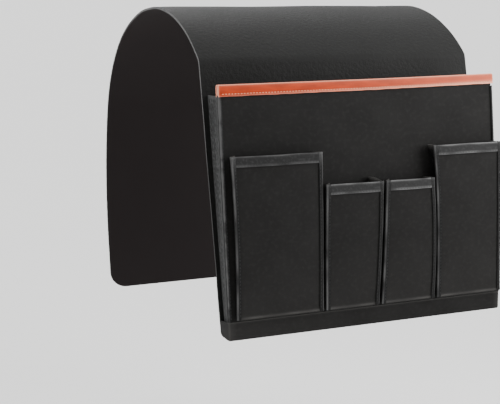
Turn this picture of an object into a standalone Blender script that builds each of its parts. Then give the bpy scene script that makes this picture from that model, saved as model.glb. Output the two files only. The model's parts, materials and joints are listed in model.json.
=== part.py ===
"""Sofa armrest organizer: a saddle sheet over the arm, a boxed pouch and four pockets on its front.

Metres, +Z up. X runs along the sofa's arm, -Y faces the room, and the origin is under the
crown of the saddle, where the organizer rests on the arm. Each fold where the sheet bends
in use is an empty, and the pieces beyond the fold are its children.
"""

import math

import bmesh
import bpy

# The saddle: a cover with a lining under it, draped over the arm
SADDLE_WIDTH = 0.320
COVER_THICK = 0.0012
LINING_THICK = 0.0008
LAYER_GAP = 0.0003
FOLD_GAP = 0.0005

# The saddle's side view, outside: arcs that leave the crown towards each side
CROWN_RADIUS = 0.2214
CROWN_TURN = math.radians(30.8)
SHOULDER_RADIUS = 0.1538
SHOULDER_TURN = math.radians(46.4)
FLAP_RADIUS = 0.4725
FLAP_TURN = math.radians(19.7)
FLAP_STRAIGHT = 0.070
FLAP_CORNER_RADIUS = 0.020
FRONT_RADIUS = 0.1875
FRONT_TURN = math.radians(43.8)
BACK_PANEL_LEAN = math.radians(11.7)

# The pouch: depths are measured outwards from the back panel's outer face
FRONT_OVERHANG = 0.001
MOUTH_DROP = 0.0301
POUCH_HEIGHT = 0.2535
MOUTH_DEPTH = 0.0457
BOTTOM_DEPTH = 0.0233
FRONT_COVER_THICK = 0.0014
STIFFENER_THICK = 0.0012
STIFFENER_MARGIN = 0.006
TRIM_THICK = 0.0012
TRIM_HEIGHT = 0.0113
BINDING_THICK = 0.0009
BINDING_WIDTH = 0.003
GUSSET_THICK = 0.0016
GUSSET_MOUTH_SETBACK = 0.006
GUSSET_BOTTOM_SETBACK = 0.0035
GUSSET_REAR_RISE = 0.005
BOOT_HEIGHT = 0.018
BOOT_THICK = 0.0022

# The four pockets: widths at the mouth and at the bottom seam, left to right
POCKET_LEFT_MARGINS = (0.0038, 0.0065)
POCKET_RIGHT_MARGIN = 0.002
POCKET_GAP = 0.0028
LEFT_LARGE_WIDTHS = (0.1005, 0.0968)
LEFT_SMALL_WIDTHS = (0.0668, 0.0622)
RIGHT_SMALL_WIDTHS = (0.0584, 0.0648)
LARGE_POCKET_HEIGHT = 0.163
SMALL_POCKET_HEIGHT = 0.1295
POCKET_MOUTH_DEPTH = 0.015
POCKET_SEAM_DEPTH = 0.0045
POCKET_THICK = 0.0016
POCKET_FLANGE_THICK = 0.0012
HEM_THICK = 0.0008
HEM_HEIGHT = 0.0105
TAPE_THICK = 0.0008
TAPE_WIDTH = 0.0045
PLEAT_THICK = 0.0012
PLEAT_TUCK = 0.004

# How many flats stand for each round stretch
CROWN_FACETS = 10
SHOULDER_FACETS = 14
FLAP_FACETS = 7
FRONT_FACETS = 14
CORNER_FACETS = 6
SMOOTH_BELOW = math.radians(30)

# Sizes that follow from the ones above
FRONT_WIDTH = SADDLE_WIDTH + 2 * FRONT_OVERHANG
LINING_DEPTH = COVER_THICK + LAYER_GAP
SADDLE_THICK = LINING_DEPTH + LINING_THICK
BACK_PANEL_LENGTH = MOUTH_DROP + POUCH_HEIGHT
DOWN = math.radians(90)
KINK = DOWN - BACK_PANEL_LEAN - FRONT_TURN
PANEL_LEAN = math.atan2(MOUTH_DEPTH - BOTTOM_DEPTH, POUCH_HEIGHT)
PANEL_SLANT = math.hypot(MOUTH_DEPTH - BOTTOM_DEPTH, POUCH_HEIGHT)
STIFFENER_DEPTH = LINING_THICK + LAYER_GAP
FRONT_COVER_DEPTH = STIFFENER_DEPTH + STIFFENER_THICK + LAYER_GAP
STACK = FRONT_COVER_DEPTH + FRONT_COVER_THICK
TRIM_TOP = PANEL_SLANT - BOOT_HEIGHT - LAYER_GAP
STACK_TOP = TRIM_TOP - TRIM_THICK - LAYER_GAP
TRIM_BOTTOM = TRIM_TOP - TRIM_HEIGHT
STACK_HALF = FRONT_WIDTH / 2 - BINDING_THICK - LAYER_GAP
POCKET_BACK = POCKET_THICK + LAYER_GAP + TAPE_THICK

LEATHERETTE = ("leatherette", (0.045, 0.048, 0.045), 0.55)
LINING = ("lining_cloth", (0.022, 0.020, 0.020), 0.9)
PANEL_CLOTH = ("panel_cloth", (0.026, 0.026, 0.025), 0.8)
FELT = ("felt", (0.075, 0.078, 0.078), 0.95)
TAPE = ("woven_tape", (0.055, 0.056, 0.056), 0.85)
BOARD = ("board", (0.30, 0.26, 0.20), 0.9)
TAN = ("tan_leather", (0.52, 0.12, 0.05), 0.5)


def clear_scene():
    for obj in list(bpy.data.objects):
        bpy.data.objects.remove(obj)


def material(look):
    """The Principled material of one look: its name, colour and roughness."""
    name, colour, roughness = look
    found = bpy.data.materials.get(name)
    if found:
        return found
    made = bpy.data.materials.new(name)
    made.use_nodes = True
    shader = made.node_tree.nodes["Principled BSDF"]
    shader.inputs["Base Color"].default_value = (*colour, 1)
    shader.inputs["Roughness"].default_value = roughness
    shader.inputs["Metallic"].default_value = 0
    return made


def fold(name, parent, y, z, turn=0):
    """An empty on a fold line that runs along X, turned about it."""
    empty = bpy.data.objects.new(name, None)
    bpy.context.collection.objects.link(empty)
    empty.parent = parent
    empty.location = (0, y, z)
    empty.rotation_euler.x = turn
    return empty


def solid(name, bm, look, parent):
    """Puts a closed body into the scene, with its faces turned outwards."""
    bmesh.ops.recalc_face_normals(bm, faces=bm.faces)
    mesh = bpy.data.meshes.new(name)
    bm.to_mesh(mesh)
    bm.free()
    mesh.materials.append(material(look))
    obj = bpy.data.objects.new(name, mesh)
    bpy.context.collection.objects.link(obj)
    obj.parent = parent
    return obj


def loft(name, rings, look, parent):
    """One closed body through rings of as many points each, capped at both ends."""
    bm = bmesh.new()
    loops = [[bm.verts.new(point) for point in ring] for ring in rings]
    for low, high in zip(loops, loops[1:]):
        for i in range(len(low)):
            j = (i + 1) % len(low)
            bm.faces.new((low[i], low[j], high[j], high[i]))
    bm.faces.new(loops[0])
    bm.faces.new(loops[-1])
    return solid(name, bm, look, parent)


def web(name, corners, thick, look, parent):
    """A sheet stretched between four corners, creased across, and `thick` along X."""
    bm = bmesh.new()
    a, b, c, d = [bm.verts.new(corner) for corner in corners]
    faces = [bm.faces.new((a, b, c)), bm.faces.new((a, c, d))]
    made = bmesh.ops.extrude_face_region(bm, geom=faces, use_keep_orig=True)["geom"]
    moved = [part for part in made if isinstance(part, bmesh.types.BMVert)]
    bmesh.ops.translate(bm, verts=moved, vec=(thick, 0, 0))
    return solid(name, bm, look, parent)


def slab(name, half_width, low, high, look, parent):
    """A box across X, between two corners given as (y, z)."""
    ends = [
        [(x, low[0], low[1]), (x, high[0], low[1]), (x, high[0], high[1]), (x, low[0], high[1])]
        for x in (-half_width, half_width)
    ]
    return loft(name, ends, look, parent)


def channel(inside, depth, thick):
    """The eight corners of a U that wraps an edge, as (reach, level).

    The edge is the inner gap, `inside` wide from level 0; the U's floor ends at reach 0
    and its two legs run back to `depth`.
    """
    low = -LAYER_GAP - thick
    high = inside + LAYER_GAP + thick
    return [
        (0, low),
        (0, high),
        (depth, high),
        (depth, high - thick),
        (thick, high - thick),
        (thick, low + thick),
        (depth, low + thick),
        (depth, low),
    ]


def between(start, end, share):
    return start + (end - start) * share


# The saddle


def arc(place, heading, radius, turn, facets):
    """Where a sheet goes round an arc: (outwards, drop, heading) at each facet's end."""
    out, drop = place
    stops = []
    for i in range(1, facets + 1):
        now = heading + turn * i / facets
        stops.append(
            (
                out + radius * (math.sin(now) - math.sin(heading)),
                drop + radius * (math.cos(heading) - math.cos(now)),
                now,
            )
        )
    return stops


def corners_of(stop, side, half_width, depth, thick, stretch=1):
    """The four corners of a sheet's cross-section at a stop, the outer face first."""
    out, drop, heading = stop
    low = depth + thick
    ring = []
    for x, level in ((-half_width, depth), (half_width, depth), (half_width, low), (-half_width, low)):
        reach = level * stretch
        y = side * (out - reach * math.sin(heading))
        ring.append((x, y, -drop - reach * math.cos(heading)))
    return ring


def lowered(rings, height):
    return [[(x, y, z + height) for x, y, z in ring] for ring in rings]


def arch_rings(depth, thick):
    """The sheet over the arm, from the fold of the flap to the fold of the pouch."""
    half = SADDLE_WIDTH / 2
    back = arc((0, 0), 0, CROWN_RADIUS, CROWN_TURN, CROWN_FACETS)
    back += arc(back[-1][:2], CROWN_TURN, SHOULDER_RADIUS, SHOULDER_TURN, SHOULDER_FACETS)
    front = arc((0, 0), 0, FRONT_RADIUS, FRONT_TURN, FRONT_FACETS)
    mitred = (*front[-1][:2], FRONT_TURN + KINK / 2)
    rings = [corners_of(stop, 1, half, depth, thick) for stop in reversed(back)]
    rings.append(corners_of((0, 0, 0), 1, half, depth, thick))
    rings += [corners_of(stop, -1, half, depth, thick) for stop in front[:-1]]
    rings.append(corners_of(mitred, -1, half, depth, thick, 1 / math.cos(KINK / 2)))
    return lowered(rings, SADDLE_THICK)


def flap_fold_place():
    """(outwards, drop, heading) where the inner flap starts to hang."""
    crown = arc((0, 0), 0, CROWN_RADIUS, CROWN_TURN, 1)[0]
    return arc(crown[:2], CROWN_TURN, SHOULDER_RADIUS, SHOULDER_TURN, 1)[0]


def pouch_fold_place():
    """(outwards, drop) where the front of the saddle kinks down."""
    return arc((0, 0), 0, FRONT_RADIUS, FRONT_TURN, 1)[0][:2]


def flap_rings(depth, thick):
    """The inner flap, seen from its fold: a slow curve, then a straight end with round corners."""
    half = SADDLE_WIDTH / 2
    heading = CROWN_TURN + SHOULDER_TURN
    start = FOLD_GAP / FLAP_RADIUS
    first = arc((0, 0), heading, FLAP_RADIUS, start, 1)[0]
    stops = [first] + arc(first[:2], first[2], FLAP_RADIUS, FLAP_TURN - start, FLAP_FACETS)
    out, drop, last = stops[-1]
    rings = [corners_of(stop, 1, half, depth, thick) for stop in stops]
    for i in range(CORNER_FACETS + 1):
        swing = DOWN * i / CORNER_FACETS
        along = FLAP_STRAIGHT - FLAP_CORNER_RADIUS * (1 - math.sin(swing))
        narrow = half - FLAP_CORNER_RADIUS * (1 - math.cos(swing))
        stop = (out + along * math.cos(last), drop + along * math.sin(last), last)
        rings.append(corners_of(stop, 1, narrow, depth, thick))
    return rings


def back_panel_rings(depth, thick):
    """The saddle's front end below the kink, which is also the pouch's back wall."""
    half = SADDLE_WIDTH / 2
    mitred = (0, FOLD_GAP, DOWN - KINK / 2)
    end = (0, BACK_PANEL_LENGTH, DOWN)
    return [
        corners_of(mitred, -1, half, depth, thick, 1 / math.cos(KINK / 2)),
        corners_of(end, -1, half, depth, thick),
    ]


def add_saddle(crown, flap, pouch):
    for layer, depth, thick, look in (
        ("cover", 0, COVER_THICK, LEATHERETTE),
        ("lining", LINING_DEPTH, LINING_THICK, LINING),
    ):
        for name, rings, parent in (
            ("arch", arch_rings(depth, thick), crown),
            ("inner_flap", flap_rings(depth, thick), flap),
            ("back_panel", back_panel_rings(depth, thick), pouch),
        ):
            sheet = loft(f"{name}_{layer}", rings, look, parent)
            sheet.data.shade_smooth()
            sheet.data.set_sharp_from_angle(angle=SMOOTH_BELOW)


# The pouch


def front_to_pouch(y, z):
    """A place in the front panel's own frame, seen from the pouch's fold."""
    cos, sin = math.cos(PANEL_LEAN), math.sin(PANEL_LEAN)
    y0, z0 = mouth_fold_place()
    return y0 + y * cos - z * sin, z0 + y * sin + z * cos


def up_the_front(height, inwards=0):
    """(y, z) from the pouch's fold, a height up the front's outer face and a depth behind it."""
    cos, sin = math.cos(PANEL_LEAN), math.sin(PANEL_LEAN)
    bottom = -MOUTH_DROP - POUCH_HEIGHT
    return (-BOTTOM_DEPTH - height * sin + inwards * cos, bottom + height * cos + inwards * sin)


def mouth_fold_place():
    """The crease above the boot, on the inner face of the front panel."""
    return up_the_front(BOOT_HEIGHT + LAYER_GAP, STACK)


def add_front_panel(front):
    slab("front_lining", STACK_HALF, (-LINING_THICK, 0), (0, STACK_TOP), LINING, front)
    slab(
        "front_stiffener",
        STACK_HALF - STIFFENER_MARGIN,
        (-STIFFENER_DEPTH - STIFFENER_THICK, STIFFENER_MARGIN),
        (-STIFFENER_DEPTH, STACK_TOP - LAYER_GAP),
        BOARD,
        front,
    )
    slab("front_cover", STACK_HALF, (-STACK, 0), (-FRONT_COVER_DEPTH, STACK_TOP), PANEL_CLOTH, front)
    section = channel(STACK, TRIM_HEIGHT, TRIM_THICK)
    ends = (-FRONT_WIDTH / 2, FRONT_WIDTH / 2)
    trim = [[(x, -level, TRIM_TOP - reach) for reach, level in section] for x in ends]
    loft("trim_band", trim, TAN, front)
    for side, name in ((-1, "left"), (1, "right")):
        section = channel(STACK, BINDING_WIDTH, BINDING_THICK)
        rings = [
            [(side * (FRONT_WIDTH / 2 - reach), -level, z) for reach, level in section]
            for z in (0, TRIM_BOTTOM - LAYER_GAP)
        ]
        loft(f"{name}_edge_binding", rings, TAPE, front)


def add_gussets(pouch):
    """The side webs, from the back panel to behind the front panel's bindings."""
    behind = LAYER_GAP + BINDING_THICK + LAYER_GAP
    floor = up_the_front(BOOT_THICK + LAYER_GAP)[1]
    low_front = up_the_front(BOOT_THICK + LAYER_GAP, STACK + behind)[0]
    high_front = front_to_pouch(behind, TRIM_BOTTOM)
    for side, name in ((-1, "left"), (1, "right")):
        low_rear = side * (SADDLE_WIDTH / 2 - GUSSET_BOTTOM_SETBACK)
        high_rear = side * (SADDLE_WIDTH / 2 - GUSSET_MOUTH_SETBACK)
        front = side * (FRONT_WIDTH / 2 - BOOT_THICK - LAYER_GAP)
        corners = (
            (low_rear, -LAYER_GAP, floor),
            (high_rear, -LAYER_GAP, high_front[1] + GUSSET_REAR_RISE),
            (front, *high_front),
            (front, low_front, floor),
        )
        web(f"{name}_gusset", corners, -side * GUSSET_THICK, FELT, pouch)


def add_boot(pouch):
    """The boxed bottom: a front band, two sides and a floor, open above and behind."""
    foot = up_the_front(0)
    lip = up_the_front(BOOT_HEIGHT)
    outer = [foot, lip, (-LAYER_GAP, lip[1]), (-LAYER_GAP, foot[1])]
    low = up_the_front(BOOT_THICK, BOOT_THICK)
    high = up_the_front(BOOT_HEIGHT + BOOT_THICK, BOOT_THICK)
    inner = [low, high, (BOOT_THICK, high[1]), (BOOT_THICK, low[1])]
    half = FRONT_WIDTH / 2
    boot = loft("bottom_boot", [[(x, *at) for at in outer] for x in (-half, half)], PANEL_CLOTH, pouch)
    half -= BOOT_THICK
    hollow = loft("boot_hollow", [[(x, *at) for at in inner] for x in (-half, half)], PANEL_CLOTH, pouch)
    hollow.hide_render = True
    hollow.display_type = "WIRE"
    cut = boot.modifiers.new("hollow", "BOOLEAN")
    cut.operation = "DIFFERENCE"
    cut.object = hollow


# The pockets


def pocket_edges():
    """Each pocket's left and right edge at the mouth, then at the bottom seam."""
    rows = []
    for level in (0, 1):
        left = -FRONT_WIDTH / 2 + POCKET_LEFT_MARGINS[level]
        row = []
        for widths in (LEFT_LARGE_WIDTHS, LEFT_SMALL_WIDTHS, RIGHT_SMALL_WIDTHS):
            row.append((left, left + widths[level]))
            left += widths[level] + POCKET_GAP
        row.append((left, FRONT_WIDTH / 2 - POCKET_RIGHT_MARGIN))
        rows.append(row)
    return list(zip(*rows))


def add_pocket(name, edges, height, front):
    """One patch pocket: its sheet, the hem over its mouth, side tapes and side pleats."""
    mouth, seam = edges
    lean = math.atan2(POCKET_MOUTH_DEPTH - POCKET_SEAM_DEPTH, height)
    hinge = fold(f"{name}_fold", front, -STACK - POCKET_SEAM_DEPTH, LAYER_GAP, lean)

    def edge(side, z, inset=0):
        """X at a height on the left (0) or right (1) edge, moved towards the middle."""
        return between(seam[side], mouth[side], z / height) + (inset if side == 0 else -inset)

    inset = TAPE_THICK + LAYER_GAP
    turned_in = inset + BINDING_WIDTH
    flange = POCKET_SEAM_DEPTH - LAYER_GAP
    section = [
        (0, 0, inset),
        (0, height, inset),
        (POCKET_THICK, height, inset),
        (POCKET_THICK, POCKET_FLANGE_THICK, inset),
        (flange, POCKET_FLANGE_THICK, turned_in),
        (flange, 0, turned_in),
    ]
    sheet = [[(edge(side, z, back), y, z) for y, z, back in section] for side in (0, 1)]
    loft(f"{name}_panel", sheet, PANEL_CLOTH, hinge)

    top = height + LAYER_GAP + HEM_THICK
    section = channel(POCKET_THICK, HEM_HEIGHT, HEM_THICK)
    hem = [
        [(edge(side, top - reach, TAPE_WIDTH + LAYER_GAP), level, top - reach) for reach, level in section]
        for side in (0, 1)
    ]
    loft(f"{name}_hem", hem, TAPE, hinge)

    section = channel(POCKET_THICK, TAPE_WIDTH, TAPE_THICK)
    start = POCKET_FLANGE_THICK + LAYER_GAP
    for side, word in ((0, "left"), (1, "right")):
        tape = [[(edge(side, z, reach), level, z) for reach, level in section] for z in (start, top)]
        loft(f"{name}_{word}_tape", tape, TAPE, hinge)
        add_pleat(f"{name}_{word}_pleat", edge, side, (start, top), lean, front)


def add_pleat(name, edge, side, levels, lean, front):
    """The web that joins a pocket's edge to the front panel, tucked in towards the panel."""
    cos, sin = math.cos(lean), math.sin(lean)
    near = POCKET_BACK + LAYER_GAP
    inwards = 1 if side == 0 else -1
    outer, inner = [], []
    for z, inset in zip(levels, (BINDING_WIDTH, TAPE_THICK)):
        x = edge(side, z, inset)
        level = LAYER_GAP + near * sin + z * cos
        outer.append((x, -STACK - POCKET_SEAM_DEPTH + near * cos - z * sin, level))
        inner.append((x + inwards * PLEAT_TUCK, -STACK - LAYER_GAP, level))
    web(name, outer + inner[::-1], inwards * PLEAT_THICK, FELT, front)


def main():
    clear_scene()
    crown = fold("arm_crown", None, 0, 0)
    out, drop, _ = flap_fold_place()
    flap = fold("flap_fold", crown, out, SADDLE_THICK - drop)
    out, drop = pouch_fold_place()
    pouch = fold("pouch_fold", crown, -out, SADDLE_THICK - drop, -BACK_PANEL_LEAN)
    front = fold("mouth_fold", pouch, *mouth_fold_place(), PANEL_LEAN)
    add_saddle(crown, flap, pouch)
    add_front_panel(front)
    add_gussets(pouch)
    add_boot(pouch)
    names = ("left_large_pocket", "left_small_pocket", "right_small_pocket", "right_large_pocket")
    heights = (LARGE_POCKET_HEIGHT, SMALL_POCKET_HEIGHT, SMALL_POCKET_HEIGHT, LARGE_POCKET_HEIGHT)
    for name, edges, height in zip(names, pocket_edges(), heights):
        add_pocket(name, edges, height, front)


main()
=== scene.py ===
"""Sofa armrest organizer: leatherette, cloth, felt, tape, trim and stitches round its solids.

Metres, +Z up. X runs along the sofa's arm, -Y faces the room, and the origin is under the crown
of the saddle. Each piece of cloth is cut flat as a grid, laid in its place and then given its
thickness. Its flat cut stays on the mesh as the UV map "cut", in metres, which weaves and grain
follow.
"""

import json
import math

import bpy
import numpy as np
from mathutils import Matrix, Vector, noise


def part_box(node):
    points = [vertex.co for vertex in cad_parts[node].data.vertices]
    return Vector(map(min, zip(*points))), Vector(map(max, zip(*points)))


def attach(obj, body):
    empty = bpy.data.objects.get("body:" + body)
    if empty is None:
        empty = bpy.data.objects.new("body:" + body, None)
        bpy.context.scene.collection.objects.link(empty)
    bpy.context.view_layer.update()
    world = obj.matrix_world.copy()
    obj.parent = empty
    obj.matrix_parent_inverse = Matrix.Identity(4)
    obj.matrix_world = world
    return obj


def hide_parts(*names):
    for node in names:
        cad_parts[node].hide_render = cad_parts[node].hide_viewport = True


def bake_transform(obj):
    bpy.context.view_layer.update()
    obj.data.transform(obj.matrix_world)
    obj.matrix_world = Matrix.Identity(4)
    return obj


bl_info = {
    "name": "Sofa armrest organizer",
    "version": (1, 0, 0),
    "blender": (4, 5, 0),
    "location": "3D View > Sidebar > Organizer",
    "description": "Dresses an armrest organizer in leatherette, felt, tape, trim and stitching",
    "category": "Object",
}

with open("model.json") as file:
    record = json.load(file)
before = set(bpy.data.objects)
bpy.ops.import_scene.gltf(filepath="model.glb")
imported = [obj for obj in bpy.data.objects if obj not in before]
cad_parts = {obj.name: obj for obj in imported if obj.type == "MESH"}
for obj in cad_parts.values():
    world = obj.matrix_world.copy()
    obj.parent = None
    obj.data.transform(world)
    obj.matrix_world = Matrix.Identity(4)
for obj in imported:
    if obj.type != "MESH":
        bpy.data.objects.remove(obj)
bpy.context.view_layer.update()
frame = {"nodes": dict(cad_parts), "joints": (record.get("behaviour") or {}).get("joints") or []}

POCKETS = ("left_large_pocket", "left_small_pocket", "right_small_pocket", "right_large_pocket")
SIDES = ((-1, "left"), (1, "right"))


def joint(name):
    return next(found for found in frame["joints"] if found["name"] == name)


def corners(node):
    """The different corners of a node's solid."""
    points = frame["nodes"][node].data.vertices
    return [Vector(point) for point in sorted({tuple(round(c, 7) for c in v.co) for v in points})]


def span(node, axis):
    """How far a node reaches along an axis."""
    low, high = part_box(node)
    return high[axis] - low[axis]


def length_size(name, description, default):
    return bpy.props.FloatProperty(
        name=name, description=description, default=default, min=0, unit="LENGTH", precision=4
    )


def turn_size(name, description, degrees):
    return bpy.props.FloatProperty(
        name=name, description=description, default=math.radians(degrees), unit="ROTATION"
    )


def share_size(name, description, default):
    return bpy.props.FloatProperty(
        name=name, description=description, default=default, min=0, max=1, subtype="FACTOR"
    )


def light_size(name, description, default, unit="NONE"):
    return bpy.props.FloatProperty(
        name=name, description=description, default=default, min=0, unit=unit
    )


def colour(name, description, default):
    return bpy.props.FloatVectorProperty(
        name=name, description=description, default=default, size=3, min=0, max=1, subtype="COLOR"
    )


class OrganizerSaddle(bpy.types.PropertyGroup):
    """Sizes of the sheet that lies over the arm."""

    width: length_size("Width", "Along the sofa's arm", span("arch_cover", 0))
    crown_radius: length_size("Crown radius", "Top of the arm, towards the seat", 0.2214)
    crown_turn: turn_size("Crown turn", "How far the crown bends", 30.8)
    shoulder_radius: length_size("Shoulder radius", "Where it turns down to the seat", 0.1538)
    shoulder_turn: turn_size("Shoulder turn", "How far the shoulder bends", 46.4)
    flap_radius: length_size("Flap radius", "Slow bend of the inner flap", 0.4725)
    flap_turn: turn_size("Flap turn", "How far the inner flap bends", 19.7)
    flap_straight: length_size("Flap end", "Straight end of the inner flap", 0.070)
    corner_radius: length_size("Corner radius", "Round corners of the inner flap", 0.020)
    low_corner: length_size("Low corner radius", "Corners of the back panel at the boot", 0.008)
    front_radius: length_size("Front radius", "Top of the arm, towards the room", 0.1875)
    front_turn: turn_size("Front turn", "How far the front bends before its kink", 43.8)
    kink_turn: turn_size("Kink turn", "Bend where the pouch starts to hang", 34.5)
    kink_length: length_size("Kink length", "Cloth that the kink takes", 0.009)
    panel_length: length_size("Panel length", "From the kink to the bottom edge", 0.2836)
    cover_thick: length_size("Cover thickness", "Leatherette outside", 0.00145)
    lining_thick: length_size("Lining thickness", "Cloth inside", 0.0008)
    wave: length_size("Waves", "How uneven the sheet lies", 0.0006)
    mesh_step: length_size("Mesh step", "Largest face", 0.0045)


class OrganizerPouch(bpy.types.PropertyGroup):
    """Sizes of the main pouch's front, trim, bindings, gussets and boot."""

    width: length_size("Width", "Across the front", span("trim_band", 0))
    stack: length_size("Front thickness", "Cover, stiffener and lining together", 0.0040)
    height: length_size("Front height", "From the boot to under the trim's fold", 0.2347)
    cover_thick: length_size("Cover thickness", "Cloth outside", 0.0014)
    lining_thick: length_size("Lining thickness", "Cloth inside", 0.0008)
    tuck: length_size("Tuck", "How far the cloth ends short of a fold round it", 0.0012)
    trim_top: length_size("Trim top", "Height of the trim's fold", 0.23619)
    trim_height: length_size("Trim height", "Height of its front and back legs", 0.0113)
    trim_taper: length_size("Trim taper", "How much narrower it is at the right end", 0.0012)
    trim_tilt: length_size("Trim tilt", "How much higher its fold is at the right end", 0.0016)
    trim_curl: length_size("Trim curl", "How much it curls up besides at that end", 0.0010)
    trim_thick: length_size("Trim thickness", "Thickness of its leatherette", 0.0012)
    binding_width: length_size("Binding width", "Width of its legs", 0.0030)
    binding_thick: length_size("Binding thickness", "Thickness of its tape", 0.0009)
    gap: length_size("Layer gap", "Between cloth and what is folded round it", 0.0003)
    gusset_fold: length_size("Gusset fold", "How far the gussets fold in", 0.0035)
    boot_thick: length_size("Boot thickness", "Thickness of its cloth", 0.0021)
    boot_edge: length_size("Boot edge", "How round its edges are", 0.0018)
    boot_sag: length_size("Boot sag", "How far its front edge hangs down", 0.0013)
    boot_lift: length_size("Boot lift", "How far its rear corners are drawn up", 0.0055)
    # Painted light: the boot's cloth is paler towards its left end.
    boot_left_light: share_size("Boot wear", "How worn its cloth is at the left end", 0.17)


class OrganizerPockets(bpy.types.PropertyGroup):
    """Sizes of the four pockets' cloth, hems, tapes and pleats."""

    sheet_thick: length_size("Sheet thickness", "Cloth of the pockets", 0.0012)
    solid_thick: length_size("Sheet room", "Room that hem and tape leave for the sheet", 0.0016)
    seam_radius: length_size("Seam bend", "Bend of the sheet at its bottom seam", 0.0032)
    flange: length_size("Flange", "Cloth turned in at the bottom seam", 0.0042)
    hem_height: length_size("Hem height", "Height of the hem's legs", 0.0105)
    hem_thick: length_size("Hem thickness", "Thickness of its tape", 0.0008)
    tape_width: length_size("Tape width", "Width of the side tapes' legs", 0.0045)
    tape_thick: length_size("Tape thickness", "Thickness of the side tapes", 0.0008)
    belly: length_size("Belly", "How far the cloth stands out in its middle", 0.0026)
    pleat_fold: length_size("Pleat fold", "How far the pleats fold in at the mouth", 0.0045)
    pleat_ear: length_size("Pleat ear", "How far the loose pleat stands out instead", 0.0060)
    ear_fold: length_size("Ear fold", "How far the raised pleat folds in besides", 0.0050)
    ear_rise: length_size("Ear rise", "How far the raised pleat stands above its hem", 0.0038)
    # Painted light: the pockets' cloth is paler towards its bottom seam.
    low_light: share_size("Low wear", "How worn the cloth is at its seam", 0.10)


class OrganizerColours(bpy.types.PropertyGroup):
    """Colours of the cloths, the trim and the thread."""

    leatherette: colour("Leatherette", "Saddle, outside", (0.0126, 0.0129, 0.0121))
    lining: colour("Lining", "Saddle and pouch, inside", (0.020, 0.0165, 0.0165))
    panel: colour("Panel cloth", "Front, boot and pockets", (0.0118, 0.0114, 0.0109))
    felt: colour("Felt", "Gussets and pleats", (0.056, 0.057, 0.057))
    tape: colour("Tape", "Hems, tapes and bindings", (0.028, 0.028, 0.028))
    cut_edge: colour("Cut edge", "Edges of the saddle", (0.12, 0.12, 0.12))
    trim: colour("Trim", "Band round the pouch's mouth", (0.40, 0.035, 0.0045))
    # Pale trim: its real pale cut ends, and the painted highlights on its edges and fold.
    trim_pale_and_highlight: colour("Pale trim", "Its edges and its fold", (0.88, 0.40, 0.27))
    thread: colour("Thread", "Stitches on the tapes", (0.16, 0.16, 0.155))
    trim_thread: colour("Trim thread", "Stitches on the trim", (0.75, 0.36, 0.22))
    board: colour("Board", "Stiffener in the front", (0.30, 0.22, 0.14))
    floor: colour("Floor", "Floor of the stage", (0.86, 0.86, 0.855))


class OrganizerStage(bpy.types.PropertyGroup):
    """The floor, the lights and the camera."""

    floor_drop: length_size("Floor drop", "From the top of the arm to the floor", 0.60)
    floor_size: length_size("Floor size", "Side of the square floor", 260)
    sky: light_size("Sky", "Light from all around", 0.42)
    back_light: light_size("Back light", "Strength of the soft sun from behind", 3.2)
    top_light: light_size("Top light", "Strength of the soft sun from above", 2.6)
    side_light: light_size("Side light", "Power of the soft box at the right", 6.2, "POWER")
    lens: bpy.props.FloatProperty(
        name="Lens", description="Focal length", default=87.03, unit="CAMERA"
    )
    azimuth: turn_size("Azimuth", "How far the camera stands to the left", 24)
    pitch: turn_size("Pitch", "How far the camera looks down", 9.89)
    camera_place: bpy.props.FloatVectorProperty(
        name="Camera",
        description="Where the camera stands",
        default=(-0.6138, -1.2759, 0.0191),
        unit="LENGTH",
    )


GROUPS = {
    "organizer_saddle": OrganizerSaddle,
    "organizer_pouch": OrganizerPouch,
    "organizer_pockets": OrganizerPockets,
    "organizer_colours": OrganizerColours,
    "organizer_stage": OrganizerStage,
}


# Lines and cloth


class Line:
    """A line in a plane, read by the distance along it."""

    def __init__(self, points):
        self.points = np.array(points, float)
        steps = np.hypot(*np.diff(self.points, axis=0).T)
        self.marks = np.concatenate([[0], np.cumsum(steps)])
        self.length = float(self.marks[-1])

    def at(self, distance):
        return tuple(float(np.interp(distance, self.marks, self.points[:, i])) for i in (0, 1))

    def heading(self, distance, step=0.0004):
        """The line's own direction at a distance, as an angle from its first axis."""
        back = self.at(max(distance - step, 0))
        on = self.at(min(distance + step, self.length))
        return math.atan2(on[1] - back[1], on[0] - back[0])


def rounded(points, radius, parts=8):
    """A line through points, with its inner corners rounded."""
    made = [points[0]]
    for before, corner, after in zip(points, points[1:], points[2:]):
        before, corner, after = Vector(before), Vector(corner), Vector(after)
        towards, onwards = (before - corner).normalized(), (after - corner).normalized()
        half = towards.angle(onwards) / 2
        reach = radius / math.tan(half)
        centre = corner + (towards + onwards).normalized() * radius / math.sin(half)
        start, end = corner + towards * reach, corner + onwards * reach
        for i in range(parts + 1):
            swung = (start - centre).lerp(end - centre, i / parts)
            made.append(tuple(centre + swung.normalized() * radius))
    made.append(points[-1])
    return Line(made)


def folded_tape(room, depth, thick, gap, radius):
    """A tape folded round an edge, as a line of (reach, level) along its outer face.

    The edge is `room` thick from level 0. Reach 0 is the fold, and the legs are `depth` long.
    """
    front, back = room + gap + thick, -gap - thick
    return rounded([(depth, front), (0, front), (0, back), (depth, back)], radius)


def evenly(start, end, step):
    return list(np.linspace(start, end, max(2, math.ceil((end - start) / step) + 1)))


def unevenness(point, size, height):
    """A smooth, fixed rise and fall over a place."""
    return height * noise.noise(Vector(point) / size)


def select_only(obj=None):
    for other in bpy.context.selected_objects:
        other.select_set(False)
    if obj:
        obj.select_set(True)
        bpy.context.view_layer.objects.active = obj


def apply_modifiers(obj):
    select_only(obj)
    for modifier in list(obj.modifiers):
        bpy.ops.object.modifier_apply(modifier=modifier.name)


def smooth(obj, degrees=40):
    select_only(obj)
    bpy.ops.object.shade_smooth_by_angle(angle=math.radians(degrees))


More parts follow.
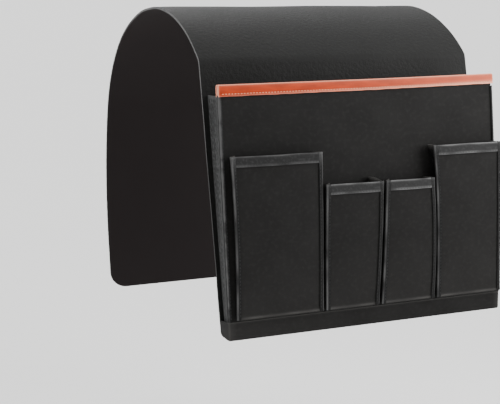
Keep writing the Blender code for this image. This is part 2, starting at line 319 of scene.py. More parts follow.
def mark_wear_and_light(mesh, values):
    """Keeps on each point how pale it is, from wear and from painted highlights and painted light,
    which the finishes read.
    """
    layer = mesh.attributes.new("worn", "FLOAT", "POINT")
    layer.data.foreach_set("value", values)


def near(distance, spread):
    """1 on a line and 0 away from it."""
    return math.exp(-((distance / spread) ** 2))


def streak(distance, wear):
    """How pale a spot at a distance from a pale line is, from wear and from painted highlights, by
    its (strength, spread).
    """
    strength, spread = wear
    return strength * near(distance, spread)


def limit(share):
    return min(1.0, max(0.0, share))


def ease(share):
    """A share that starts and ends softly."""
    share = limit(share)
    return share * share * (3 - 2 * share)


def patchy(along, seed, size=0.016, least=0.2, swing=1.3):
    """Wear and painted highlight that come and go along a line, around 1."""
    return max(least, 1 + swing * noise.noise(Vector((along / size, seed, 0.5))))


def cut_cloth(name, across, along, place, thick, faces, turned=False, worn=None):
    """A piece of cloth: cut flat at the given distances, laid in its place and thickened inwards.

    place turns (across, along) on the cut into a point of the outer face. faces names the
    finishes of its face and of its cut edge. The last argument says how pale a spot of the cut
    is, from wear and from painted highlights and painted light.
    """
    select_only()
    columns, rows = len(across) - 1, len(along) - 1
    bpy.ops.mesh.primitive_grid_add(x_subdivisions=columns, y_subdivisions=rows, size=1)
    cloth = bpy.context.object
    cloth.name = cloth.data.name = name
    mesh = cloth.data
    if len(mesh.vertices) != len(across) * len(along):
        raise RuntimeError(f"the grid of {name} doesn't have the rows that were asked for")
    cut = [
        (across[round((v.co.x + 0.5) * columns)], along[round((v.co.y + 0.5) * rows)])
        for v in mesh.vertices
    ]
    layer = mesh.uv_layers.active
    layer.name = "cut"
    for loop in mesh.loops:
        layer.data[loop.index].uv = cut[loop.vertex_index]
    for vertex, spot in zip(mesh.vertices, cut):
        vertex.co = place(*spot)
    mark_wear_and_light(mesh, [worn(*spot) if worn else 0.0 for spot in cut])
    if turned:
        mesh.flip_normals()
    for finish in faces:
        mesh.materials.append(bpy.data.materials[finish])
    body = cloth.modifiers.new("thickness", "SOLIDIFY")
    body.thickness = thick
    body.offset = -1
    body.use_even_offset = True
    body.material_offset_rim = len(faces) - 1
    apply_modifiers(cloth)
    smooth(cloth)
    return cloth


def belongs(obj, body, slot, nodes, bend=None):
    """Parents a piece to its body's empty, or bakes in place one between two, and hides its solids.
    """
    if bend:
        start, end = bend
        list(body)
        tuple(start)
        tuple(end)
        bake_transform(obj)
    else:
        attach(obj, body)
    if nodes:
        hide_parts(*nodes)


def surface_normal(place, spot, turned, step=0.0005):
    u, v = spot
    side = place(u + step, v) - place(u - step, v)
    up = place(u, v + step) - place(u, v - step)
    normal = side.cross(up).normalized()
    return -normal if turned else normal


def seam(place, start, end, turned=False, step=0.002):
    """A row for stitches on a laid cloth, between two spots of its cut."""
    count = max(2, round((Vector(end) - Vector(start)).length / step) + 1)
    row = []
    for i in range(count):
        spot = Vector(start).lerp(Vector(end), i / (count - 1))
        row.append((place(*spot), surface_normal(place, spot, turned)))
    return row


# Length, width and height of a stitch, and the share of its height by which its middle lies
# above the cloth.
STITCH = (0.0025, 0.00055, 0.0004)
STITCH_RISE = 0.2


def stitches(name, rows, finish, pitch=0.0034, size=STITCH):
    """Rows of stitches as one piece, each stitch a copy of one rounded bit of thread."""
    select_only()
    bpy.ops.mesh.primitive_uv_sphere_add(segments=6, ring_count=4, radius=0.5)
    model = bpy.context.object
    bpy.ops.object.mode_set(mode="EDIT")
    bpy.ops.mesh.select_all(action="SELECT")
    bpy.ops.transform.resize(value=size)
    bpy.ops.object.mode_set(mode="OBJECT")
    shape = np.array([v.co for v in model.data.vertices])
    faces = [list(p.vertices) for p in model.data.polygons]
    bpy.data.objects.remove(model)
    points, loops, ahead = [], [], size[0] / 4
    for row in rows:
        spots = np.array([spot for spot, _ in row])
        outs = np.array([out for _, out in row])
        marks = np.concatenate([[0], np.cumsum(np.linalg.norm(np.diff(spots, axis=0), axis=1))])
        count = max(1, int(marks[-1] / pitch))
        for i in range(count):
            middle = (i + 0.5) * marks[-1] / count
            here, on, out = (
                np.array([np.interp(at, marks, table[:, k]) for k in range(3)])
                for at, table in ((middle, spots), (middle + ahead, spots), (middle, outs))
            )
            if middle + ahead > marks[-1]:
                on = here * 2 - spots[-2]
            run = (on - here) / np.linalg.norm(on - here)
            out = out - run * out.dot(run)
            out /= np.linalg.norm(out)
            axes = np.array([run, np.cross(out, run), out])
            first = len(points) * len(shape)
            points.append(shape @ axes + here + out * size[2] * STITCH_RISE)
            loops += [[first + k for k in face] for face in faces]
    mesh = bpy.data.meshes.new(name)
    mesh.from_pydata(np.concatenate(points).tolist(), [], loops)
    mesh.materials.append(bpy.data.materials[finish])
    thread = bpy.data.objects.new(name, mesh)
    bpy.context.collection.objects.link(thread)
    mesh.shade_smooth()
    return thread


def hanging(joint_name, node):
    """The frame of what hangs from a fold: its origin on the fold, its Z up along a node."""
    points = corners(node)
    middle = sum(p.z for p in points) / len(points)
    high = [p for p in points if p.z > middle]
    low = [p for p in points if p.z <= middle]
    up = sum(high, Vector()) / len(high) - sum(low, Vector()) / len(low)
    lean = math.atan2(-up.y, up.z)
    return Matrix.Translation(joint(joint_name)["pos_m"]) @ Matrix.Rotation(lean, 4, "X")


# Shaders


class Signal:
    """A shader's number, on which Python's arithmetic adds Math nodes."""

    def __init__(self, finish, socket):
        self.finish = finish
        self.socket = socket

    def math(self, operation, *values):
        node = self.finish.node("ShaderNodeMath", {"operation": operation}, dict(enumerate(values)))
        return Signal(self.finish, node.outputs[0])

    def __add__(self, other):
        return self.math("ADD", self, other)

    __radd__ = __add__

    def __mul__(self, other):
        return self.math("MULTIPLY", self, other)

    __rmul__ = __mul__

    def __sub__(self, other):
        return self.math("SUBTRACT", self, other)

    def __rsub__(self, other):
        return self.math("SUBTRACT", other, self)

    def sine(self):
        return self.math("SINE", self)

    def step(self, low, high):
        """0 below low and 1 above high, with a smooth change between."""
        node = self.finish.node(
            "ShaderNodeMapRange",
            {"interpolation_type": "SMOOTHSTEP"},
            {"Value": self, "From Min": low, "From Max": high},
        )
        return Signal(self.finish, node.outputs[0])


class Finish:
    """One material in the making."""

    def __init__(self, name, specular=0.3, sheen=0):
        material = bpy.data.materials.new(name)
        material.use_nodes = True
        self.tree = material.node_tree
        self.shader = self.tree.nodes["Principled BSDF"]
        self.shader.inputs["Specular IOR Level"].default_value = specular
        self.shader.inputs["Sheen Weight"].default_value = sheen

    def node(self, kind, settings=None, sockets=None):
        made = self.tree.nodes.new(kind)
        for key, value in (settings or {}).items():
            setattr(made, key, value)
        for key, value in (sockets or {}).items():
            self.feed(made.inputs[key], value)
        return made

    def feed(self, socket, value):
        if isinstance(value, Signal):
            self.tree.links.new(value.socket, socket)
        else:
            socket.default_value = value

    def cut(self):
        """Where a point lies on the flat cut, in metres."""
        return Signal(self, self.node("ShaderNodeUVMap", {"uv_map": "cut"}).outputs[0])

    def place(self):
        """Where a point lies in the part's frame, in metres."""
        return Signal(self, self.node("ShaderNodeTexCoord").outputs["Object"])

    def worn(self):
        """How pale a point is, from wear and from painted highlights and painted light, from 0 to
        1.
        """
        node = self.node("ShaderNodeAttribute", {"attribute_name": "worn"})
        return Signal(self, node.outputs["Fac"])

    def split(self, where):
        node = self.node("ShaderNodeSeparateXYZ", None, {0: where})
        return [Signal(self, socket) for socket in node.outputs]

    def noise(self, where, size, detail=2.0):
        node = self.node(
            "ShaderNodeTexNoise", None, {"Vector": where, "Scale": 1 / size, "Detail": detail}
        )
        return Signal(self, node.outputs[0])

    def cells(self, where, size):
        node = self.node(
            "ShaderNodeTexVoronoi",
            {"feature": "DISTANCE_TO_EDGE"},
            {"Vector": where, "Scale": 1 / size},
        )
        return Signal(self, node.outputs[0])

    def stretched(self, where, scale):
        node = self.node("ShaderNodeMapping", None, {"Vector": where, "Scale": scale})
        return Signal(self, node.outputs[0])

    def mix(self, share, low, high):
        node = self.node(
            "ShaderNodeMix",
            {"data_type": "RGBA"},
            {0: share, 6: self.opaque(low), 7: self.opaque(high)},
        )
        return Signal(self, node.outputs[2])

    def opaque(self, value):
        return value if isinstance(value, Signal) else (*value, 1)

    def done(self, colour, roughness, height=None, depth=0.0002):
        """Feeds the shader: colour, roughness and a height in shares of a depth."""
        self.feed(self.shader.inputs["Base Color"], self.opaque(colour))
        self.feed(self.shader.inputs["Roughness"], roughness)
        if height is not None:
            sockets = {"Height": height, "Distance": depth, "Strength": 1.0}
            bump = self.node("ShaderNodeBump", None, sockets)
            self.tree.links.new(bump.outputs[0], self.shader.inputs["Normal"])


def shade(value, factor):
    """A colour made lighter or darker."""
    return tuple(min(1, c * factor) for c in value)


def make_leatherette(look):
    """Matte leatherette: a fine pebbled grain with faint clouds."""
    finish = Finish("dark_leatherette", specular=0.132, sheen=0.05)
    where = finish.cut()
    grain = finish.cells(where, size=0.0014).step(0.02, 0.40)
    fine = finish.noise(where, size=0.0006, detail=3)
    mottle = finish.noise(where, size=0.0038, detail=2)
    clouds = finish.noise(where, size=0.045, detail=3)
    value = look.leatherette
    colour = finish.mix(clouds.step(0.3, 0.7), shade(value, 0.85), shade(value, 1.15))
    colour = finish.mix(mottle.step(0.30, 0.70), shade(value, 0.25), colour)
    colour = finish.mix(grain, shade(value, 0.5), colour)
    rough = 0.58 - clouds * 0.10 + mottle * 0.14
    finish.done(colour, rough, grain * 0.2 + fine * 0.12 + mottle, depth=0.0006)


def make_lining(look):
    """Plain close cloth, matte and slightly warm."""
    finish = Finish("lining_cloth_fine", specular=0.12)
    where = finish.cut()
    fibres = finish.noise(finish.stretched(where, (1.0, 2.2, 1.0)), size=0.0009, detail=3)
    clouds = finish.noise(where, size=0.07)
    colour = finish.mix(clouds, shade(look.lining, 0.9), shade(look.lining, 1.12))
    colour = finish.mix(fibres.step(0.35, 0.7), shade(look.lining, 0.8), colour)
    finish.done(colour, 0.88 + fibres * 0.08, fibres, depth=0.00012)


# Distances from thread to thread of the panel cloth and from rib to rib of the tape.
CLOTH_PITCH = 0.0008
TAPE_PITCH = 0.0013


def weave(finish, where, pitch):
    """Over and under of a plain weave, from 0 to 1."""
    x, y, _ = finish.split(where)
    across = (x * (math.pi / pitch)).sine()
    along = (y * (math.pi / pitch)).sine()
    return across * along * 0.5 + 0.5


def make_cloth(name, value, specular, pale):
    """Coated cloth with a close weave that shows at an angle, paler where it is worn and where
    highlights and light are painted on.
    """
    finish = Finish(name, specular=specular)
    where = finish.cut()
    threads = weave(finish, where, CLOTH_PITCH)
    fine = finish.noise(where, size=0.0007, detail=3)
    slubs = finish.noise(finish.stretched(where, (0.9, 1.1, 1.0)), size=0.0045, detail=3)
    clouds = finish.noise(where, size=0.035, detail=4)
    colour = finish.mix(clouds.step(0.25, 0.75), shade(value, 0.82), shade(value, 1.2))
    colour = finish.mix(threads * 0.5 + fine * 0.5, shade(value, 0.62), colour)
    colour = finish.mix(slubs.step(0.45, 0.75) * 0.5, colour, shade(value, 1.5))
    colour = finish.mix(finish.worn() * (fine * 0.8 + 0.4), colour, shade(value, pale))
    rough = 0.70 + fine * 0.12 - clouds * 0.10
    finish.done(colour, rough, threads * 0.6 + fine * 0.5 + slubs * 0.4, depth=0.00014)


def make_felt(look):
    """Speckled felt: pale fibres in a dark ground."""
    finish = Finish("speckled_felt", specular=0.1, sheen=0.08)
    where = finish.cut()
    fibres = finish.noise(finish.stretched(where, (1.0, 0.40, 1.0)), size=0.0013, detail=4)
    flecks = finish.noise(finish.stretched(where, (1.0, 0.45, 1.0)), size=0.0020, detail=3)
    streaks = finish.noise(finish.stretched(where, (1.0, 0.10, 1.0)), size=0.0050, detail=3)
    colour = finish.mix(fibres.step(0.38, 0.66), shade(look.felt, 0.5), shade(look.felt, 1.5))
    colour = finish.mix(flecks.step(0.36, 0.52), shade(look.felt, 0.45), colour)
    colour = finish.mix(flecks.step(0.54, 0.66) * 0.7, colour, shade(look.felt, 2.0))
    colour = finish.mix(streaks.step(0.40, 0.62) * 0.6, colour, shade(look.felt, 0.55))
    colour = finish.mix(finish.worn() * (fibres + 0.2), colour, shade(look.felt, 2.4))
    finish.done(colour, 0.95, fibres * 0.7 + flecks * 0.5, depth=0.0004)


def make_tape(name, value, pale):
    """Woven tape: ribs across it, and a fold and edge made paler by wear and by painted highlights.
    """
    finish = Finish(name, specular=0.14)
    where = finish.cut()
    x, y, _ = finish.split(where)
    ribs = (y * (2 * math.pi / TAPE_PITCH)).sine() * 0.5 + 0.5
    threads = (x * (2 * math.pi / TAPE_PITCH)).sine() * 0.5 + 0.5
    wear = finish.noise(where, size=0.003, detail=4)
    fuzz = finish.noise(where, size=0.0008, detail=3)
    colour = finish.mix(ribs * 0.5 + threads * 0.5, shade(value, 0.45), shade(value, 1.15))
    colour = finish.mix(wear.step(0.48, 0.72) * 0.5, colour, shade(value, 2.0))
    colour = finish.mix(finish.worn() * (fuzz * 0.9 + 0.45), colour, shade(value, pale))
    finish.done(colour, 0.86, ribs * 0.6 + threads * 0.4 + fuzz * 0.4, depth=0.00025)


def make_cut_edge(look):
    """The cut edge of the saddle, paler than its face and fibrous."""
    finish = Finish("cut_edge_pale", specular=0.15)
    where = finish.place()
    fibres = finish.noise(where, size=0.0008, detail=4)
    edge = finish.mix(finish.worn(), shade(look.cut_edge, 0.25), shade(look.cut_edge, 2.2))
    colour = finish.mix(fibres.step(0.35, 0.65), shade(look.cut_edge, 0.3), edge)
    finish.done(colour, 0.9, fibres, depth=0.0002)


def make_trim(look):
    """Smooth terracotta leatherette with pale cut ends, painted highlights and painted light."""
    finish = Finish("terracotta_leatherette", specular=0.12)
    where = finish.cut()
    grain = finish.cells(where, size=0.0009).step(0.0, 0.3)
    clouds = finish.noise(finish.stretched(where, (0.25, 1.0, 1.0)), size=0.006, detail=4)
    blotches = finish.noise(where, size=0.0016, detail=4)
    colour = finish.mix(clouds.step(0.3, 0.7), shade(look.trim, 0.78), shade(look.trim, 1.15))
    # Painted highlights and painted light, with the real pale cut ends.
    pale = finish.worn() * (blotches * 0.9 + 0.45)
    colour = finish.mix(pale, colour, look.trim_pale_and_highlight)
    finish.done(colour, 0.42 + clouds * 0.14, grain * 0.5 + blotches * 0.3, depth=0.0001)


def make_trim_edge(look):
    """The cut ends and edges of the trim, pale inside."""
    finish = Finish("terracotta_cut_edge", specular=0.3)
    rough = finish.noise(finish.place(), size=0.0007, detail=3)
    colour = finish.mix(rough.step(0.3, 0.5), shade(look.trim_pale_and_highlight, 0.6), look.trim_pale_and_highlight)
    finish.done(colour, 0.8, rough, depth=0.0001)


def make_thread(name, value):
    """Sewing thread, with the fine mottling of its twist."""
    finish = Finish(name, specular=0.3)
    twist = finish.noise(finish.place(), size=0.0004, detail=2)
    colour = finish.mix(twist, shade(value, 0.65), shade(value, 1.2))
    finish.done(colour, 0.7, twist, depth=0.0001)


def make_board(look):
    """Grey-brown board with pressed fibres."""
    finish = Finish("pressed_board", specular=0.2)
    where = finish.place()
    fibres = finish.noise(finish.stretched(where, (1.0, 1.0, 3.0)), size=0.003, detail=5)
    colour = finish.mix(fibres.step(0.3, 0.7), shade(look.board, 0.8), shade(look.board, 1.15))
    finish.done(colour, 0.9, fibres, depth=0.0002)


def make_floor(look):
    """Pale matte floor with the faintest clouds."""
    finish = Finish("pale_floor", specular=0.1)
    clouds = finish.noise(finish.place(), size=0.5, detail=3)
    finish.done(finish.mix(clouds, shade(look.floor, 0.985), look.floor), roughness=0.95)


# The saddle

# Lengths of the sheet's waves, all over it and along its side edges, and how much lower it lies
# for them, as a share of their height.
WAVE = 0.085
EDGE_WAVE = 0.04
WAVE_DROP = 0.2
# Width of the row of faces at each side edge, and the space between cover and lining.
RIM = 0.0012
LAYER_GAP = 0.00005
# How far each length bends, to both sides of its fold, and its largest face there.
FOLD_REACHES = {"front": (0.014, 0.0015), "rear": (0.045, 0.004)}
# How the pale cut edge fades: how much of it goes, over what length, and how slowly at the rear.
EDGE_FADE = 0.85
EDGE_FADE_LENGTH = 0.12
REAR_FADE = 0.4


def profile(turns, length, step=0.0005):
    """A line from the crown: `turns` lists (length, turn) of each stretch in order.

    Its points are (outwards, drop), and its heading is the slope of the sheet below level.
    """
    marks, headings = [0.0], [0.0]
    for stretch, turn in turns:
        marks.append(marks[-1] + stretch)
        headings.append(headings[-1] + turn)
    distances = np.arange(0, length + step / 2, length / math.ceil(length / step))
    middle = np.interp((distances[1:] + distances[:-1]) / 2, marks, headings)
    steps = np.diff(distances)
    out = np.concatenate([[0], np.cumsum(np.cos(middle) * steps)])
    drop = np.concatenate([[0], np.cumsum(np.sin(middle) * steps)])
    return Line(np.stack([out, drop], axis=1))


def front_profile(size):
    """The saddle from its crown to the bottom of the pouch's back, and where its kink lies."""
    arch = size.front_radius * size.front_turn
    half = size.kink_length / 2
    turn = size.front_turn * (arch - half) / arch
    turns = [
        (arch - half, turn),
        (size.kink_length, size.kink_turn + size.front_turn - turn),
        (size.panel_length, 0),
    ]
    return profile(turns, arch + size.panel_length), arch


def rear_profile(size):
    """The saddle from its crown to the end of the inner flap, and where its fold lies."""
    crown = size.crown_radius * size.crown_turn
    shoulder = size.shoulder_radius * size.shoulder_turn
    flap = size.flap_radius * size.flap_turn
    turns = [
        (crown, size.crown_turn),
        (shoulder, size.shoulder_turn),
        (flap, size.flap_turn),
        (size.flap_straight, 0),
    ]
    return profile(turns, crown + shoulder + flap + size.flap_straight), crown + shoulder


def on_saddle(size, line, side, top, across, along, depth=0, corner=0):
    """A point of the saddle's sheet, at a depth under its outer face, which is highest at top."""
    left = line.length - along
    if corner and left < corner:
        half = size.width / 2
        across *= (half - corner + math.sqrt(max(corner**2 - (corner - left) ** 2, 0))) / half
    out, drop = line.at(along)
    heading = line.heading(along)
    point = Vector((across, side * out, top - drop))
    normal = Vector((0, side * math.sin(heading), math.cos(heading)))
    edge = (abs(across) / (size.width / 2)) ** 4
    rise = unevenness(point, WAVE, size.wave) + edge * unevenness(point, EDGE_WAVE, size.wave)
    return point + normal * (rise - size.wave * WAVE_DROP - depth)


class ORGANIZER_OT_saddle(bpy.types.Operator):
    """Lays the saddle's cover and lining over the arm, as two lengths that meet at the crown"""

    bl_idname = "organizer.saddle"
    bl_label = "Saddle"

    def execute(self, context):
        size = context.scene.organizer_saddle
        half, top = size.width / 2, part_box("arch_cover")[1].z
        across = evenly(-half, half, size.mesh_step)
        across = [-half, -half + RIM] + across[1:-1] + [half - RIM, half]
        under = size.cover_thick + LAYER_GAP
        layers = (
            ("cover", 0.0, size.cover_thick, "dark_leatherette", "leatherette"),
            ("lining", under, size.lining_thick, "lining_cloth_fine", "lining_cloth"),
        )
        for part, side, body, node, (line, fold), corner in (
            ("front", -1, "pouch", "back_panel", front_profile(size), size.low_corner),
            ("rear", 1, "inner_flap", "inner_flap", rear_profile(size), size.corner_radius),
        ):
            reach, fold_step = FOLD_REACHES[part]
            along = evenly(0, fold - reach, size.mesh_step)
            along += evenly(fold - reach, fold + reach, fold_step)[1:]
            end = line.length - corner
            along += evenly(fold + reach, end, size.mesh_step)[1:]
            along += [end + corner * math.sin(math.radians(turn)) for turn in range(6, 91, 6)]
            bend = [on_saddle(size, line, side, top, 0, fold + d) for d in (-reach, reach)]
            for layer, depth, thick, finish, slot in layers:

                def place(u, v):
                    return on_saddle(size, line, side, top, u, v, depth, corner)

                def worn(u, v):
                    below = max(0.0, v - fold) if side < 0 else v * REAR_FADE
                    return 1 - EDGE_FADE * min(1.0, below / EDGE_FADE_LENGTH)

                name, faces = f"saddle_{part}_{layer}", (finish, "cut_edge_pale")
                cloth = cut_cloth(name, across, along, place, thick, faces, side < 0, worn)
                belongs(cloth, ("arch", body), slot, (f"arch_{layer}", f"{node}_{layer}"), bend)
        return {"FINISHED"}


# The pouch

# Length and height of the front panel's ripples, and its largest face.
FRONT_RIPPLE = (0.07, 0.00022)
FRONT_STEP = 0.005

# The trim: its seam's distance from its edge, its rounding, how far its fold has settled, and
# where its legs start below the fold.
TRIM_SEAM = 0.0022
TRIM_BEND = 0.0030
TRIM_SETTLED = 0.0002
TRIM_LEGS = 0.004
# Depth and width of the groove that its stitches draw, then length and height of its ripples and
# of the waves of its edge.
GROOVE = (0.00035, 0.0007)
TRIM_RIPPLE = (0.022, 0.000175)
TRIM_EDGE_WAVE = (0.012, 0.00035)
# Its largest face along it and across it, and its outermost row of faces.
TRIM_STEPS = (0.0017, 0.0006)
TRIM_RIM = 0.0008
# How far past its front leg the painted highlight of its fold lies.
TRIM_FOLD_SHIFT = 0.0006
# Its pale ends: their width, the distance of their middle from the trim's end, their rounding,
# and the play between the legs.
END_WIDTH = 0.0016
END_INSET = 0.0012
END_BEVEL = 0.0004
END_PLAY = 0.0002
# Strength and spread of its paling: real wear at its pale cut ends, a painted highlight on its
# fold and along its edge at the left and at the right end, painted light over its upper half,
# and how much more painted light there is at the right end.
TRIM_END_WEAR = (0.6, 0.0007)
TRIM_FOLD_HIGHLIGHT = (0.8, 0.0013)
TRIM_EDGE_HIGHLIGHT = ((0.25, 0.0008), (0.90, 0.0030))
TRIM_UPPER_LIGHT = (0.07, 0.007)
TRIM_RIGHT_LIGHT = 0.16
# Where its stitching ends, how far its stitches are apart, and their size.
TRIM_SEAM_END = 0.003
TRIM_PITCH = 0.0033
TRIM_STITCH = (0.0024, 0.0011, 0.0008)

# The bindings: their rounding, length and height of the waves of their fold, their largest faces,
# and the distance of their stitches from their edge and from their lower and upper ends.
BINDING_BEND = 0.0018
BINDING_WAVE = (0.03, 0.0002)
BINDING_STEPS = (0.0007, 0.003)
BINDING_SEAM = (0.0010, 0.002, 0.001)
# Strength and spread of the painted highlight along their fold, how far it lies behind the fold's
# middle, the length of its patches, and what is added to spread and patches at the top.
BINDING_HIGHLIGHT = (1.25, 0.0011)
BINDING_HIGHLIGHT_BACK = 0.0004
BINDING_PATCH = 0.007
BINDING_TOP_HIGHLIGHT = (0.0007, 0.4)

# The gussets: how much they fold at the bottom, how their fold wavers, how far their lip dips, and
# how high, how wide and how sharp the notch at their lower rear corner is.
GUSSET_LOW_FOLD = 0.05
GUSSET_WAVER = (30, 0.0008)
GUSSET_DIP = 0.0010
GUSSET_NOTCH = (0.008, 0.45, 12)
GUSSET_STEPS = (0.0025, 0.005)
GUSSET_LIP_WEAR = (0.6, 0.0012)
# The most that its area is of its flat rectangle.
GUSSET_AREA_SHARE = 0.999

# The boot: how far its lower front edge lies back, how many cuts its faces get, how wide the lift
# of its rear corners is, the spread of its worn corners, the strength and spread of the painted
# highlight on its lip, and the share of its painted light that is left at its upper and lower edge.
BOOT_BACK = 0.0018
BOOT_CUTS = 24
BOOT_LIFT_SPREAD = 0.008
BOOT_CORNER_SPREAD = 0.0012
BOOT_LIP_HIGHLIGHT = (0.8, 0.0012)
BOOT_EDGE_LIGHT = 0.6


def front_frame():
    return hanging("mouth_fold", "front_cover")


def on_front(matrix, x, level, height):
    """A point of the front panel: level is outwards from its inner face."""
    return matrix @ Vector((x, -level, height))


class ORGANIZER_OT_front_panel(bpy.types.Operator):
    """Cuts the front panel's cover and lining and gives its stiffener a board finish"""

    bl_idname = "organizer.front_panel"
    bl_label = "Front panel"

    def execute(self, context):
        size = context.scene.organizer_pouch
        matrix = front_frame()
        half = size.width / 2 - size.binding_thick - size.gap - size.tuck
        height = size.height - size.tuck
        across, along = evenly(-half, half, FRONT_STEP), evenly(0, height, FRONT_STEP)
        for part, slot, finish, level, thick in (
            ("cover", "panel_cloth", "panel_cloth_coated", size.stack, size.cover_thick),
            ("lining", "lining_cloth", "lining_cloth_fine", 0.0, size.lining_thick),
        ):

            def place(u, v):
                ripple = unevenness(on_front(matrix, u, level, v), *FRONT_RIPPLE)
                return on_front(matrix, u, level + ripple, v)

            name = f"pouch_front_{part}"
            cloth = cut_cloth(name, across, along, place, thick, (finish,), turned=level == 0)
            belongs(cloth, "pouch_front", slot, (f"front_{part}",))
        board = frame["nodes"]["front_stiffener"]
        for found in board.material_slots:
            found.material = bpy.data.materials["pressed_board"]
        return {"FINISHED"}


def trim_level(size, x):
    """Height of the trim's fold at a place along it."""
    share = x / size.width
    curl = size.trim_curl * max(0, 2 * share) ** 1.5
    return size.trim_top - TRIM_SETTLED + size.trim_tilt * share + curl


def on_trim(size, matrix, line, x, distance):
    """A point of the trim, at a distance up its front leg and over the fold."""
    reach, level = line.at(distance)
    reach *= 1 - size.trim_taper * (x / size.width) / size.trim_height
    top = trim_level(size, x)
    out = 1 if level > size.stack / 2 else -1
    from_edge = min(distance, line.length - distance)
    legs = min(1.0, reach / TRIM_LEGS)
    ripple = unevenness(on_front(matrix, x, level, top - reach), *TRIM_RIPPLE)
    groove = streak(from_edge - TRIM_SEAM, GROOVE)
    lip = unevenness((x, 0, 5), *TRIM_EDGE_WAVE) * max(0.0, 1 - from_edge / TRIM_LEGS)
    return on_front(matrix, x, level + out * (ripple - groove) * legs, top - reach + lip)


def fill_end(size, matrix, side):
    """The pale end between the trim's legs, where its layers are cut off."""
    select_only()
    bpy.ops.mesh.primitive_cube_add(size=1)
    filling = bpy.context.object
    deep, tall = size.stack + 2 * size.gap - END_PLAY, size.trim_height - TRIM_SEAM
    top = trim_level(size, side * size.width / 2) - size.trim_thick - END_BEVEL
    for vertex in filling.data.vertices:
        x, y, z = vertex.co
        x = side * (size.width / 2 - END_INSET) + x * END_WIDTH
        vertex.co = on_front(matrix, x, size.stack / 2 + y * deep, top - tall * (0.5 - z))
    bpy.ops.object.mode_set(mode="EDIT")
    bpy.ops.mesh.select_all(action="SELECT")
    bpy.ops.mesh.normals_make_consistent(inside=False)
    bpy.ops.mesh.bevel(offset=END_BEVEL, segments=2, affect="EDGES")
    bpy.ops.object.mode_set(mode="OBJECT")
    filling.data.materials.append(bpy.data.materials["terracotta_cut_edge"])
    return filling


class ORGANIZER_OT_trim(bpy.types.Operator):
    """Folds the terracotta trim over the pouch's mouth and stitches it"""

    bl_idname = "organizer.trim"
    bl_label = "Trim"

    def execute(self, context):
        size = context.scene.organizer_pouch
        matrix, half = front_frame(), size.width / 2
        line = folded_tape(size.stack, size.trim_height, size.trim_thick, size.gap, TRIM_BEND)
        middle = size.trim_height + TRIM_FOLD_SHIFT
        upper_strength, upper_spread = TRIM_UPPER_LIGHT

        def place(u, v):
            return on_trim(size, matrix, line, u, v)

        # Its pale cut ends are real wear. The lines on its fold and edges are painted highlights,
        # and its paler upper band and right end are painted light.
        def worn(u, v):
            share = 0.5 + u / size.width
            edge = [left + (right - left) * share for left, right in zip(*TRIM_EDGE_HIGHLIGHT)]
            lines = streak(min(v, line.length - v), edge) + streak(v - middle, TRIM_FOLD_HIGHLIGHT)
            ends = streak(half - abs(u), TRIM_END_WEAR)
            upper = upper_strength * max(0.0, 1 - abs(v - size.trim_height) / upper_spread)
            return min(1.0, lines + ends + upper + TRIM_RIGHT_LIGHT * share**2)

        across = evenly(-half, half, TRIM_STEPS[0])
        across = [-half, -half + TRIM_RIM] + across[1:-1] + [half - TRIM_RIM, half]
        along = evenly(0, line.length, TRIM_STEPS[1])
        faces = ("terracotta_leatherette", "terracotta_cut_edge")
        band = cut_cloth("mouth_trim", across, along, place, size.trim_thick, faces, worn=worn)
        ends = [fill_end(size, matrix, side) for side in (-1, 1)]
        select_only(band)
        for end in ends:
            end.select_set(True)
        bpy.ops.object.join()
        belongs(band, "pouch_front", "tan_leather", ("trim_band",))
        stop = half - TRIM_SEAM_END
        rows = [seam(place, (-stop, v), (stop, v)) for v in (TRIM_SEAM, line.length - TRIM_SEAM)]
        name = "mouth_trim_stitching"
        thread = stitches(name, rows, "thread_terracotta", TRIM_PITCH, TRIM_STITCH)
        belongs(thread, "pouch_front", "tan_leather", ())
        return {"FINISHED"}


class ORGANIZER_OT_bindings(bpy.types.Operator):
    """Folds tape over the front panel's side edges and stitches it"""

    bl_idname = "organizer.bindings"
    bl_label = "Edge bindings"

    def execute(self, context):
        size = context.scene.organizer_pouch
        matrix, thick = front_frame(), size.binding_thick
        line = folded_tape(size.stack, size.binding_width, thick, size.gap, BINDING_BEND)
        top = size.trim_top - size.trim_height - size.gap
        highlight_line = size.binding_width + BINDING_HIGHLIGHT_BACK
        strength, spread = BINDING_HIGHLIGHT
        top_spread, top_patches = BINDING_TOP_HIGHLIGHT
        inset, low_end, high_end = BINDING_SEAM
        across, along = evenly(0, line.length, BINDING_STEPS[0]), evenly(0, top, BINDING_STEPS[1])
        for side, word in SIDES:

            def place(u, v):
                reach, level = line.at(u)
                shift = abs(unevenness((side, 0, v), *BINDING_WAVE))
                return on_front(matrix, side * (size.width / 2 - reach - shift), level, v)

            # A painted highlight along the fold, in patches, wider towards the top.
            def worn(u, v):
                high = (v / top) ** 2
                patches = patchy(v, side, BINDING_PATCH) + top_patches * high
                return strength * near(u - highlight_line, spread + top_spread * high) * patches

            name, faces = f"{word}_front_binding", ("side_tape_ribbed",)
            tape = cut_cloth(name, across, along, place, thick, faces, side < 0, worn)
            belongs(tape, "pouch_front", "woven_tape", (f"{word}_edge_binding",))
            row = seam(place, (inset, low_end), (inset, top - high_end), side < 0)
            thread = stitches(f"{name}_stitching", [row], "thread_dark")
            belongs(thread, "pouch_front", "woven_tape", ())
        return {"FINISHED"}


